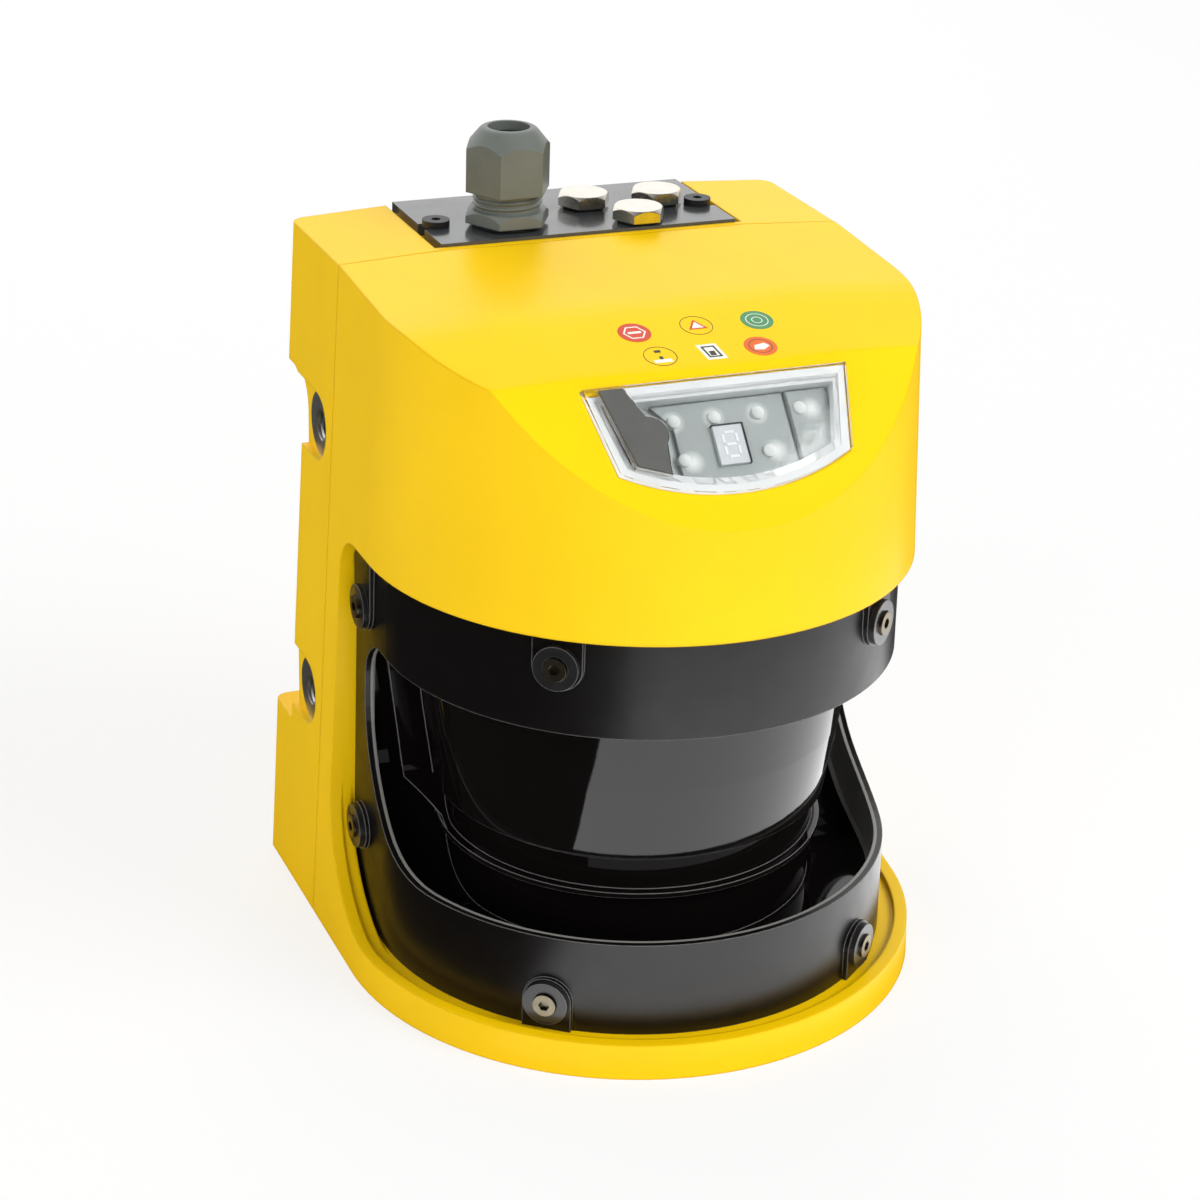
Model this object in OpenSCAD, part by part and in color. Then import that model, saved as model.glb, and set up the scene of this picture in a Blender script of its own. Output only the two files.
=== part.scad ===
// Compact safety laser scanner: two die-cast housing halves, a one-piece optics cover,
// a rotating mirror on its motor, a display with a service cap, and a connector plate.
// The scan axis is vertical. The front faces -Y.

/* [Housing] */
// Height of the housing without the cable gland
body_h = 185; // [176:1:196]
// Width across the base rim
base_w = 155; // [150:1:162]
// Depth from the front of the base rim to the back
body_d = 155; // [150:1:165]
// Draft of the housing sides, in degrees
side_draft = 2.6; // [2:0.1:3]
// Distance of the seam between the halves behind the scan axis
seam_y = 35; // [33:0.5:38]
// Thickness of the cast walls
cast_wall = 3.6; // [3:0.1:4.2]
// Thickness of the gasket in the seam
gasket_t = 0.6; // [0.4:0.1:1]
// Height of the lower edge of the hood
hood_z = 116; // [114:0.5:119]
// How far the nose of the hood lies behind the nose of the base
hood_setback = 1.5; // [0:0.5:3]
// Radius of the vertical back corners
corner_r = 4; // [2:0.5:6]

/* [Hood shape] */
// Slope of the top behind the bend, in degrees
top_slope = 3.4; // [2:0.2:5]
// Place of the bend in front of the scan axis
bend_y = 12; // [8:1:16]
// Slope of the top in front of the bend, in degrees
brow_slope = 14; // [11:0.5:16]
// Slope of the display face, in degrees
face_slope = 47; // [44:1:50]
// Place of the upper edge of the display face in front of the scan axis
face_y = 42.5; // [41:0.5:44]
// Half width of the raised middle of the hood
panel_half_w = 42; // [40:0.5:44]
// Fall of the outer parts of the hood, in degrees
panel_fall = 3.2; // [2:0.2:4]
// Turn of the edges of the raised middle, in degrees
panel_turn = 4.5; // [3:0.5:6]

/* [Base and side openings] */
// Height of the base under the cover
rim_z = 8; // [7.5:0.5:9]
// Height of the raised outer edge of the base over the base
rim_rise = 1.6; // [1:0.2:2]
// Width of the raised outer edge of the base
rim_edge_w = 3.4; // [2.6:0.2:4]
// Place of the back end of the side openings behind the scan axis
recess_y = 24.5; // [24.2:0.1:26]
// Radius where the base rim rises into the side strip
rim_rise_r = 34; // [28:1:38]
// Radius of the upper back corner of the side openings
arch_r = 11; // [8:1:14]

/* [Back] */
// Depth of the channel across the back
channel_d = 17; // [13:1:19]
// Height of the lower edge of the channel
channel_z0 = 46; // [43:1:49]
// Height of the upper edge of the channel
channel_z1 = 146; // [142:1:150]
// Radius of the upper edge of the channel
channel_r = 10; // [7:1:13]
// Height of the lower side threads
side_thread_z0 = 60; // [58:1:63]
// Height of the upper side threads
side_thread_z1 = 136; // [133:1:138]
// Place of the side threads behind the scan axis
side_thread_y = 49; // [47:0.5:51]
// Radius of the side threads
side_thread_r = 4; // [3:0.5:5]
// Depth of the side threads
side_thread_l = 9; // [8:0.5:10]
// Diameter of the side spot faces
spot_d = 18; // [15:0.5:20]
// Radius of the threads in the back
back_thread_r = 3; // [2.5:0.5:4]
// Depth of the threads in the back
back_thread_l = 8; // [6:0.5:9]
// Width between the threads in the back
back_thread_w = 100; // [90:1:104]
// Height between the threads in the back
back_thread_h = 72; // [64:1:76]

/* [Optics cover] */
// Radius of the cover at the base
cover_r0 = 69.2; // [68.6:0.1:69.6]
// Wall thickness of the cover
cover_t = 2.6; // [2.2:0.1:3]
// Height of the lower edge of the upper band
band_z = 90; // [88:0.5:92]
// Height of the upper edge of the lower band
ring_z = 33.5; // [32:0.5:35]
// Radius of the lower back corner of the scan slot
slot_r0 = 40; // [34:1:41]
// Radius of the upper back corner of the scan slot
slot_r1 = 12; // [9:1:14]
// Place of the back end of the scan slot behind the scan axis
slot_y = 16.5; // [14:0.5:17.5]
// Height of the floor of the trough
trough_z = 22; // [21:0.5:23.5]
// Place of the back wall of the trough behind the scan axis
trough_y = 19.4; // [18.8:0.2:20]
// Radius of the back of the trough
trough_r = 36; // [34:0.5:38]
// Radius of the cone window at its top
cone_r1 = 57.5; // [56:0.5:60]
// Radius of the cone window at its bottom
cone_r0 = 52.3; // [51.5:0.1:53]
// Height of the bottom of the cone window
cone_z = 49; // [48:0.5:52]
// Radius of the drum between the cone and the lip
drum_r = 49.5; // [48:0.5:50]
// Height of the lip
lip_z = 38.5; // [37:0.5:40]
// Width of the lip beyond the drum foot
lip_w = 1.4; // [1:0.2:2]
// Place of the back end of the lip behind the scan axis
lip_y = 13; // [11:0.5:14]
// Radius where the lip turns up at the back
lip_turn_r = 15; // [12:1:18]
// Width of the flange beside the cone at the back
flange_w = 8; // [6:0.5:9]

/* [Cover screws] */
// Angle of the front screws from the nose, in degrees
screw_angle = 38.5; // [36:0.5:42]
// Height of the upper front screws
screw_z1 = 108; // [107:0.5:109]
// Height of the lower front screws
screw_z0 = 15.9; // [15.5:0.1:16.2]
// Height of the upper side screws
side_screw_z1 = 98; // [97:0.5:100]
// Height of the lower side screws
side_screw_z0 = 34; // [33:0.5:36]
// Place of the upper side screws behind the scan axis
side_screw_y1 = 16.4; // [15:0.2:18]
// Place of the lower side screws behind the scan axis
side_screw_y0 = 17.2; // [16.8:0.1:17.4]
// Diameter of the cover washers
washer_d = 11.6; // [11:0.2:12]
// Thickness of the cover washers
washer_t = 1.5; // [1.2:0.1:1.8]
// Radius of the screw threads
thread_r = 1.5; // [1.2:0.1:1.8]
// Length of the screws behind the washers
screw_l = 7; // [6:0.5:7.5]
// Height of the lugs on the cover
lug_t = 1.1; // [0.8:0.1:1.4]

/* [Connector plate] */
// Width of the plate
plate_w = 82; // [80:0.5:84]
// Depth of the plate
plate_d = 40; // [39:0.5:40.5]
// Thickness of the plate
plate_t = 3.2; // [2.6:0.2:3.8]
// How far the plate stands above the housing
plate_proud = 0.8; // [0.4:0.1:1.2]
// Gap between the plate and the ends of its pocket
plate_gap = 1.8; // [1.2:0.1:2.2]
// Gland axis, from the middle of the plate across
gland_x = -18.6; // [-20:0.2:-17]
// Gland axis, behind the scan axis
gland_y = 50; // [49:0.5:52]
// Width of the gland across the flats
gland_af = 20; // [19:0.5:21]
// Height of the gland over the plate
gland_h = 26; // [25:0.5:28]
// Radius of the cable hole in the gland seal
cable_r = 4; // [3.5:0.25:4.5]
// Width of the blanking plugs across the flats
plug_af = 12.6; // [12:0.2:13]
// Radius of the blanking plug threads
plug_r = 4.5; // [4:0.25:5]

/* [Display] */
// Half width of the window at its top
lens_half_w = 34.3; // [33:0.1:35]
// Half width of the window at its lower corners
lens_low_half_w = 30; // [29:0.1:31]
// Height of the straight sides of the window
lens_side = 22; // [21:0.5:23]
// Height of the window in the middle
lens_len = 29.6; // [28.6:0.2:30.2]
// Thickness of the window
lens_t = 2; // [1.6:0.1:2.4]
// Radius of the lamps
lamp_r = 1.6; // [1.3:0.1:1.9]
// Radius of the bulge of the service cap
cap_r = 4.3; // [4:0.1:4.6]

/* [Mirror drive] */
// Radius of the motor
motor_r = 24; // [22:0.5:28]
// Radius of the motor shaft
shaft_r = 3; // [2.5:0.1:4]
// Running clearance of the shaft in its bearings
run_fit = 0.03; // [0.02:0.01:0.08]
// Radius of the mirror carrier
carrier_r = 24; // [22:0.5:27]
// Radius of the encoder disc
encoder_r = 36; // [32:0.5:38]
// Height of the scan plane over the base
scan_z = 63; // [61:0.5:65]
// Radius of the receiver lens
receiver_r = 27; // [25:0.5:29]
// Radius of the laser tube
laser_r = 6; // [5:0.25:7]

/* [Hidden] */
$fn = 96;

// Clearances: general, around a close fit, between flat faces, and past the far side of anything
fit = 0.2;
snug = 0.1;
joint_gap = 0.3;
over = 1;
far = 400;

// Colours
yellow = "#f6ce00";
black = "#151314";
rubber = "#242322";
steel = "#c3c1ba";
board_green = "#2f5d3a";

// The frame's origin is below the middle of the housing; the scan axis lies at axis_y
axis_y = (base_w - body_d) / 2;
back_y = body_d - base_w / 2;
taper = tan(side_draft);
function half_w(z) = base_w / 2 - z * taper;

// Hood: its side profile turns at the bend, at the brow and at the nose
bend_z = body_h - (seam_y + bend_y) * tan(top_slope);
face_z = bend_z - (face_y - bend_y) * tan(brow_slope);
nose_out = 2;
nose_y = half_w(hood_z) + nose_out;
nose_z = face_z - (nose_y - face_y) * tan(face_slope);
bend_r = 60;
hood_run = 20;
panel_drop = (half_w(body_h) - panel_half_w) * tan(panel_fall);
brow_r = 14;

// Optics cover
cover_taper_share = 0.29;
cover_back_y = recess_y - joint_gap;
cover_top_in = 5;
cover_top_z = hood_z + cover_top_in;
cover_gap = 0.8;
function cover_r(z) = cover_r0 - (z - rim_z) * taper * cover_taper_share;
lip_r = drum_r + 2;
foot_in = 2.4;
foot_r = lip_r - foot_in;
cone_bulge = 0.4;
cone_step = 0.6;
lip_rise = 0.5;
lip_root = 1;
lug_edge = 0.6;
lug_w = washer_d + 2 * lug_edge;
band_t = cover_t - fit;
lug_root = 1;

// Frame behind the cover
frame_gap = 0.5;
frame_t = 5;
frame_drop = 5;
seal_t = 1;
seal_in = 0.8;
shelf_z = cover_top_z + seal_t;
shelf_t = 4;
frame_back_y = seam_y - cast_wall;
lower_ring_z1 = trough_z - cover_t - frame_gap;
post_r = 2.6;
post_l = frame_t + cast_wall;
floor_t = 4;

// Cover screws: angle from the nose, shift behind the scan axis, height
screw_sites = concat(
    [for (side = [-1, 1]) for (z = [screw_z0, screw_z1]) [side * screw_angle, 0, z]],
    [for (side = [-1, 1]) [side * 90, side_screw_y0, side_screw_z0]],
    [for (side = [-1, 1]) [side * 90, side_screw_y1, side_screw_z1]]
);
washer_well = 0.6;
head_r = 3;
head_h = 1.4;
head_hex_r = 1.45;
thread_fit = 0.05;

// Gasket
gasket_edge = 0.6;

// Connector plate, its pocket and its well
pocket_half_w = plate_w / 2 + plate_gap;
pocket_z = body_h + plate_proud - plate_t;
plate_y = back_y - plate_d;
plate_top_z = body_h + plate_proud;
well_in = [10.8, 1.4, 6];
well_half_w = pocket_half_w - well_in.x;
well_z = channel_z1 + well_in.z;
well_y = plate_y + well_in.y;
plug_wall = 2.2;
plug_gap = 0.5;
plug_floor_gap = 1.5;
plate_screw_in = [4, 16];
plate_screw_x = plate_w / 2 - plate_screw_in.x;
plate_screw_y = plate_y + plate_screw_in.y;
plate_slot_r = 2.6;
plate_head_h = 1.8;
plate_head_r = plate_slot_r + 1;
plate_hex_r = 1.3;
plate_hex_floor = 0.5;
plate_screw_l = 8;
plate_boss_r = 3.6;

// Gland
gland_seal_t = 1.5;
gland_seal_in = 5;
gland_seal_drop = 2.4;
gland_hole_r = cable_r + gland_seal_t;
gland_neck_r = gland_hole_r + 3;
gland_flange_h = 4.6;
gland_ring_t = 1.2;
gland_nut_z = 9.4;
gland_grip = 4;
gland_stud_r = gland_neck_r - 0.5;
gland_stud_l = plate_t;
crown_fall = [10, 5];
crown_r = [4, 2];
crown_bulge = 1.2;
crown_rim = 1.6;

// Blanking plugs, from the middle of the plate across and from its front edge
plug_sites = [[6.6, 22], [15.6, 5.8], [26.8, 20]];
plug_head_h = 3.2;
plug_ring_t = 0.9;
plug_stud_l = plate_t;

// Housing screws
boss_l = seam_y - recess_y - joint_gap;
boss_r = 4.5;
house_screw_r = 2;
house_head_h = 4;
house_head_r = 3.6;
house_screw_drop = 30;
house_hex_r = house_head_r / 2;
function boss_x(z) = half_w(z) - cast_wall - boss_r + over;
house_sites = [
    for (side = [-1, 1]) for (z = [rim_z + boss_r, body_h - house_screw_drop]) [side * boss_x(z), 0, z]
];

// Threads in the sides and the back
spot_in = 1.6;
channel_low_r = 2;
thread_wall = 4;
side_threads = [for (side = [-1, 1]) for (z = [side_thread_z0, side_thread_z1]) [side, z]];
back_threads_z = (channel_z0 + channel_z1 - channel_r) / 2;

// Display stack, measured down from the display face
lens_land = 1.5;
frame_depth = 6.4;
frame_w = 2.6;
board_t = 1.6;
seat_depth = 9;
seat_wall = 3;
seat_drop = 4;
lens_proud = 0.3;
lens_foot_share = 0.9;
lamp_dome = 1.6;
lamp_sites = [[-12, -9], [-1.5, -9], [9.9, -9], [21, -9], [-11.7, -19], [10.4, -19]];
segment_at = [0.8, -16.5];
segment_size = [7.6, 10, 2.4];
socket_wall_gap = 0.6;
socket_floor = 0.8;
cap_strap = [[3.6, -0.8], [9.6, -0.8]];
cap_side = [[-0.6, 5], [3.4, -2], [2.6, -10.4], [-5.2, -7.4]];
cap_proud = 0.3;
cap_stem_up = 1.2;
cap_at = [-20.2, -13];
cap_stem_r = 2.4;
cap_gap = 0.3;
lens_top_drop = 1;
lens_top_y = -face_y - lens_top_drop;
lens_top_z = face_z - lens_top_drop * tan(face_slope);

// Mirror drive, stacked up from the base
foot_h = 2;
motor_z0 = rim_z + foot_h;
motor_h = 24;
motor_z1 = motor_z0 + motor_h;
motor_foot_edge = 2;
motor_bolt_r = motor_r - 6;
motor_screw_r = 1.5;
motor_screw_l = 12;
motor_screw_head_r = 2.8;
motor_screw_in = 3;
bearing_wall = 5;
bearing_r = shaft_r + bearing_wall;
bearing_h = 5;
bearing_in = 3;
hub_gap = 2;
hub_z = motor_z1 + hub_gap;
hub_h = 3;
encoder_t = 1.2;
carrier_z = hub_z + hub_h + encoder_t;
mirror_t = 3;

// Optics above the mirror
tube_t = 2.5;
tube_over_mirror = 11;
tube_edge = 2;
tube_z = scan_z + carrier_r + tube_over_mirror;
lens_seat_h = 2;
receiver_z = tube_z + lens_seat_h;
receiver_edge_h = 3;
receiver_sag = 5;
chassis_z = shelf_z + shelf_t;
chassis_t = 3.6;
chassis_lap = 2;
chassis_r = cover_r(shelf_z) - cover_t - frame_gap - frame_t + chassis_lap;
chassis_back_gap = 2;
pillar_h = 20;
pillar_r = 2.6;
receiver_board_z = chassis_z + chassis_t + pillar_h;
laser_len = 40;
laser_drop = 3;
laser_neck_in = 2;
pillar_in = 14;
pillar_xy = (chassis_r - pillar_in) / sqrt(2);
receiver_board_edge = 5;

// Main board
main_board_y = seam_y + 7;
board_hole_in = 6;
main_board_half_w = 54;
main_board_z0 = 24;
main_board_h = 112;
standoff_r = 3;
room_back_y = back_y - channel_d - cast_wall;

// ---- Outlines ----

function unit(v) = v / norm(v);

// Points of a round corner at b, coming from a and going on to c
function corner(a, b, c, r) = r == 0 ? [b] :
    let (
        u = unit(a - b),
        v = unit(c - b),
        half = acos(u * v) / 2,
        centre = b + unit(u + v) * r / sin(half),
        p = b + u * r / tan(half) - centre,
        q = b + v * r / tan(half) - centre,
        start = atan2(p.y, p.x),
        sweep = (atan2(q.y, q.x) - start + 540) % 360 - 180,
        steps = max(3, ceil(abs(sweep) / 6))
    )
    [for (i = [0:steps]) centre + r * [cos(start + sweep * i / steps), sin(start + sweep * i / steps)]];

// A closed outline from corners given as [x, y, radius]
function outline(list) = let (n = len(list)) [
    for (i = [0:n - 1])
        let (a = list[(i + n - 1) % n], b = list[i], c = list[(i + 1) % n])
        each corner([a.x, a.y], [b.x, b.y], [c.x, c.y], b.z)
];

// Front opening seen from the side, as (Y, Z), from z0 to z1 with its back end at back
module side_slot(z0, z1, back, r0, r1) polygon(outline([
    [-base_w, z0, 0], [back, z0, r0], [back, z1, r1], [-base_w, z1, 0]
]));

// Extrudes a (Y, Z) profile along X
module along_x(x0 = -base_w, x1 = base_w)
    translate([x0, 0, 0]) rotate([90, 0, 90]) linear_extrude(height = x1 - x0) children();

// Extrudes an (X, Z) profile along Y
module along_y(y0, y1) translate([0, y1, 0]) rotate([90, 0, 0]) linear_extrude(height = y1 - y0) children();

// ---- Places ----

module at_scan_axis() translate([0, axis_y, 0]) children();

// X across, Y up the display face, Z out of it, from the middle of the window's top edge
module on_display() translate([0, lens_top_y, lens_top_z]) rotate([face_slope, 0, 0]) children();

// At every cover screw, with Z out of the lug's face
module at_cover_screws() for (site = screw_sites)
    translate([0, site.y, 0]) rotate([0, 0, site.x])
        translate([0, -cover_r(site.z) - lug_t, site.z]) rotate([90, 0, 0]) children();

module at_house_screws() for (site = house_sites) translate(site) rotate([90, 0, 0]) children();

module at_back_threads() for (x = [-1, 1]) for (z = [-1, 1])
    translate([x * back_thread_w / 2, back_y - channel_d, back_threads_z + z * back_thread_h / 2])
        rotate([90, 0, 0]) children();

// At every side thread, with Z out of the spot face
module at_side_threads() for (site = side_threads)
    translate([site.x * (half_w(site.y) - spot_in), side_thread_y, site.y]) rotate([0, site.x * 90, 0])
        children();

// ---- D-shaped solids: round in front, straight behind the scan axis ----

module d_solid(r0, r1, z0, z1, back, shift) intersection() {
    union() {
        translate([0, shift, z0]) cylinder(h = z1 - z0, r1 = r0, r2 = r1);
        along_y(shift, back) polygon([[-r0, z0], [r0, z0], [r1, z1], [-r1, z1]]);
    }
    translate([-far / 2, back - far, z0 - over]) cube(far);
}

module housing_d(z0, z1, back, inset = 0, shift = 0)
    d_solid(half_w(z0) - inset, half_w(z1) - inset, z0, z1, back, shift);

module cover_d(z0, z1, back, inset = 0)
    d_solid(cover_r(z0) - inset, cover_r(z1) - inset, z0, z1, back, 0);

// ---- Front housing ----

// The hood's profile with the front at negative Y, moved in by inset
module hood_side(inset) translate([inset, -inset]) mirror([1, 0]) polygon(outline([
    [-seam_y - hood_run, body_h + hood_run * tan(top_slope), 0], [bend_y, bend_z, bend_r],
    [face_y, face_z, brow_r], [nose_y, nose_z, 0], [nose_y, 0, 0], [-seam_y - hood_run, 0, 0]
]));

// Everything under the hood's top, where the outer parts fall away from a raised middle
module under_hood_top(inset = 0) intersection() {
    along_x() hood_side(inset);
    hood_wing(inset);
    mirror([1, 0, 0]) hood_wing(inset);
}

module hood_wing(inset) translate([panel_half_w, seam_y, body_h]) rotate([0, panel_fall, -panel_turn])
    translate([-panel_half_w, -seam_y, -body_h]) along_x() hood_side(inset);

module front_form() {
    housing_d(0, hood_z, seam_y);
    intersection() {
        housing_d(hood_z, body_h, seam_y, shift = hood_setback);
        under_hood_top();
    }
}

module side_openings() {
    along_x() side_slot(rim_z + rim_rise, hood_z, recess_y, rim_rise_r, arch_r);
    intersection() {
        housing_d(rim_z, hood_z, recess_y, inset = rim_edge_w);
        along_x() side_slot(rim_z, hood_z, recess_y, rim_rise_r, arch_r);
    }
    cover_d(rim_z, shelf_z + over, recess_y, -cover_gap);
}

// Room inside the hood and behind the cover, open at the seam
module front_room() {
    intersection() {
        housing_d(hood_z - over, body_h, seam_y + over, inset = cast_wall, shift = hood_setback);
        under_hood_top(cast_wall);
    }
    room_half_w = half_w(hood_z) - 3 * cast_wall;
    translate([-room_half_w, recess_y - over, rim_z + floor_t])
        cube([2 * room_half_w, seam_y, hood_z - rim_z]);
}

module frame_ring(z0, z1) difference() {
    cover_d(z0, z1, frame_back_y, cover_t + frame_gap);
    cover_d(z0 - over, z1 + over, seam_y, cover_t + frame_gap + frame_t);
}

// Ring and shelf that the cover is screwed to, with posts for its side screws
module cover_frame() {
    frame_ring(screw_z1 - frame_drop, shelf_z + shelf_t);
    difference() {
        housing_d(shelf_z, shelf_z + shelf_t, frame_back_y, inset = cast_wall - over, shift = hood_setback);
        cover_d(shelf_z - over, shelf_z + shelf_t + over, seam_y, cover_t + frame_gap + frame_t - over);
    }
    frame_ring(rim_z - over, lower_ring_z1);
    for (site = screw_sites) if (abs(site.x) == 90) side_post(site);
}

// Post for one side screw, cast on the frame behind it
module side_post(site) mirror([site.x > 0 ? 0 : 1, 0, 0])
    translate([cover_r(site.z) - cover_t - frame_gap - post_l, site.y, site.z]) {
        rotate([0, 90, 0]) cylinder(h = post_l, r = post_r);
        translate([0, 0, -post_r]) cube([post_l, frame_back_y - site.y, 2 * post_r]);
    }

// Collar behind the window that the display stack sits in
module display_seat() on_display() translate([0, 0, -seat_depth])
    linear_extrude(height = seat_depth - seat_drop) difference() {
        lens_outline(-seat_wall);
        lens_outline(lens_land);
    }

module motor_foot() translate([0, 0, rim_z - over])
    cylinder(h = foot_h + over, r = motor_r + motor_foot_edge);

module at_motor_screws() for (i = [0:3])
    rotate([0, 0, 45 + 90 * i]) translate([motor_bolt_r, 0, 0]) children();

module front_housing() color(yellow) at_scan_axis() difference() {
    union() {
        difference() {
            front_form();
            side_openings();
            front_room();
        }
        cover_frame();
        display_seat();
        motor_foot();
        intersection() {
            at_house_screws() translate([0, 0, -seam_y]) cylinder(h = boss_l, r = boss_r);
            front_form();
        }
    }
    on_display() translate([0, 0, -lens_t]) linear_extrude(height = seat_depth) lens_outline(-fit);
    on_display() translate([0, 0, -seat_depth - over]) linear_extrude(height = seat_depth + over)
        lens_outline(lens_land);
    at_house_screws() translate([0, 0, -seam_y - over]) cylinder(h = boss_l, r = house_screw_r);
    at_cover_screws() {
        translate([0, 0, washer_t - screw_l]) cylinder(h = screw_l, r = thread_r);
        cylinder(h = washer_t + over, d = washer_d + 2 * joint_gap);
    }
    at_motor_screws() translate([0, 0, -over]) {
        cylinder(h = rim_z + foot_h + 2 * over, r = motor_screw_r + fit);
        cylinder(h = motor_screw_in + over, r = motor_screw_head_r + fit);
    }
    gasket_ring(-over);
}

// ---- Gasket in the seam ----

// The housing's outline at the seam, moved in by inset
module seam_outline(inset) polygon([
    [-half_w(0) + inset, inset], [half_w(0) - inset, inset],
    [half_w(body_h) - inset, body_h - panel_drop - inset], [panel_half_w - inset, body_h - inset],
    [-panel_half_w + inset, body_h - inset], [-half_w(body_h) + inset, body_h - panel_drop - inset]
]);

module gasket_ring(edge) along_y(seam_y - gasket_t / 2, seam_y + gasket_t / 2) difference() {
    seam_outline(edge);
    seam_outline(cast_wall - gasket_edge);
}

module seam_gasket() color(rubber) at_scan_axis() gasket_ring(gasket_edge);

// ---- Rear housing ----

module back_channel() along_x() polygon(outline([
    [back_y + base_w, channel_z0, 0], [back_y - channel_d, channel_z0, channel_low_r],
    [back_y - channel_d, channel_z1, channel_r], [back_y + base_w, channel_z1, 0]
]));

// Rounds an upright back corner
module corner_cut() rotate([0, -side_draft, 0]) translate([half_w(0), back_y, -body_h / 2])
    linear_extrude(height = 2 * body_h) difference() {
        translate([-corner_r, -corner_r]) square(2 * corner_r);
        translate([-corner_r, -corner_r]) circle(r = corner_r);
    }

module rear_form() difference() {
    along_y(seam_y, back_y) seam_outline(0);
    for (side = [0, 1]) mirror([side, 0, 0]) corner_cut();
    back_channel();
    // milled spot faces, open towards the channel
    at_side_threads() {
        cylinder(h = base_w, d = spot_d);
        translate([-spot_d / 2, 0, 0]) cube([spot_d, base_w, base_w]);
    }
}

module rear_room() intersection() {
    along_y(seam_y - over, room_back_y) seam_outline(cast_wall);
    translate([-base_w, 0, rim_z]) cube([2 * base_w, far, pocket_z - cast_wall - rim_z]);
}

module plug_pocket() {
    translate([-pocket_half_w, plate_y - fit, pocket_z]) cube([2 * pocket_half_w, base_w, body_h]);
    translate([-well_half_w, well_y, well_z]) cube([2 * well_half_w, back_y - well_y - cast_wall, body_h]);
}

module at_standoffs() for (x = [-1, 1]) for (z = [0, 1])
    translate([
        x * (main_board_half_w - board_hole_in), room_back_y,
        main_board_z0 + board_hole_in + z * (main_board_h - 2 * board_hole_in)
    ]) rotate([90, 0, 0]) children();

module at_plate_screws() for (x = [-1, 1]) translate([x * plate_screw_x, plate_screw_y, pocket_z]) children();

module rear_housing() color(yellow) at_scan_axis() difference() {
    union() {
        difference() {
            rear_form();
            rear_room();
        }
        intersection() {
            union() {
                at_side_threads() translate([0, 0, -side_thread_l - thread_wall])
                    cylinder(h = side_thread_l + thread_wall, r = side_thread_r + thread_wall);
                at_house_screws() translate([0, 0, -back_y]) cylinder(h = back_y - seam_y, r = boss_r + over);
                at_back_threads() cylinder(h = back_thread_l + thread_wall, r = back_thread_r + thread_wall);
                at_plate_screws() translate([0, 0, -plate_screw_l])
                    cylinder(h = plate_screw_l, r = plate_boss_r);
                at_standoffs() cylinder(h = room_back_y - main_board_y - board_t, r = standoff_r);
            }
            rear_form();
        }
    }
    plug_pocket();
    at_plate_screws() translate([0, 0, -plate_screw_l + over]) cylinder(h = plate_screw_l, r = thread_r);
    at_side_threads() translate([0, 0, -side_thread_l]) cylinder(h = side_thread_l + over, r = side_thread_r);
    at_back_threads() translate([0, 0, -over]) cylinder(h = back_thread_l + over, r = back_thread_r);
    at_house_screws() translate([0, 0, -back_y - over]) {
        cylinder(h = body_d, r = house_screw_r + fit);
        cylinder(h = back_y - seam_y - boss_l + over, r = house_head_r + fit);
    }
    gasket_ring(-over);
}

module housing_screws() color(steel) at_scan_axis() at_house_screws() translate([0, 0, -seam_y - boss_l]) {
    cylinder(h = 2 * boss_l - over, r = house_screw_r - thread_fit);
    translate([0, 0, -house_head_h]) difference() {
        cylinder(h = house_head_h, r = house_head_r);
        translate([0, 0, -over]) cylinder(h = house_head_h / 2 + over, r = house_hex_r, $fn = 6);
    }
}

// ---- Optics cover ----

// Foot, drum and cone window, moved in by inset
module core_round(inset) rotate_extrude() polygon([
    [0, rim_z - inset], [foot_r - inset, rim_z - inset], [foot_r - inset, lip_z - lip_w - inset],
    [drum_r - inset, lip_z + lip_rise - inset], [drum_r - inset, cone_z - 3 * cone_step + inset],
    [cone_r0 - 2 * cone_step - inset, cone_z - cone_step + inset], [cone_r0 - inset, cone_z + inset],
    [(cone_r0 + cone_r1) / 2 + cone_bulge - inset, (cone_z + band_z) / 2],
    [cone_r1 - inset, band_z + inset], [cone_r1 - inset, cover_top_z], [0, cover_top_z]
]);

// Lip between the foot and the drum, cut off where the back of the cover is
module lip() intersection() {
    rotate_extrude() polygon([
        [foot_r - lip_root, lip_z - 2 * lip_w], [lip_r, lip_z - lip_w], [lip_r, lip_z],
        [drum_r - lip_root, lip_z + lip_rise]
    ]);
    translate([-far / 2, cover_back_y - lip_root - far, 0]) cube(far);
}

// The lip carried on up both sides of the cone, along the back of the trough
module core_flange(inset) difference() {
    rotate_extrude() polygon([
        [0, lip_z - lip_w], [lip_r - joint_gap - inset, lip_z - lip_w],
        [lip_r - joint_gap - inset, lip_z + lip_w], [cone_r0 + flange_w - inset, cone_z],
        [cone_r1 + flange_w - inset, band_z + inset], [0, band_z + inset]
    ]);
    along_x() side_slot(
        lip_z - inset, band_z + inset + over, lip_y + inset, lip_turn_r + inset, slot_r1 + inset
    );
}

module core(inset) intersection() {
    union() {
        core_round(inset);
        core_flange(inset);
    }
    translate([-far / 2, cover_back_y + inset - far, -over]) cube(far);
}

// Outer form of the cover, or with an inset the room inside it
module cover_form(inset = 0) {
    difference() {
        cover_d(rim_z - inset, cover_top_z + inset, cover_back_y + inset, inset);
        along_x() side_slot(ring_z - inset, band_z + inset, slot_y + inset, slot_r0 + inset, slot_r1 + inset);
        intersection() {
            cover_d(rim_z, cover_top_z, seam_y, band_t - inset);
            along_x() side_slot(
                trough_z - inset, band_z + inset, trough_y + inset, trough_r + inset, slot_r1 + inset
            );
        }
    }
    core(inset);
}

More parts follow.
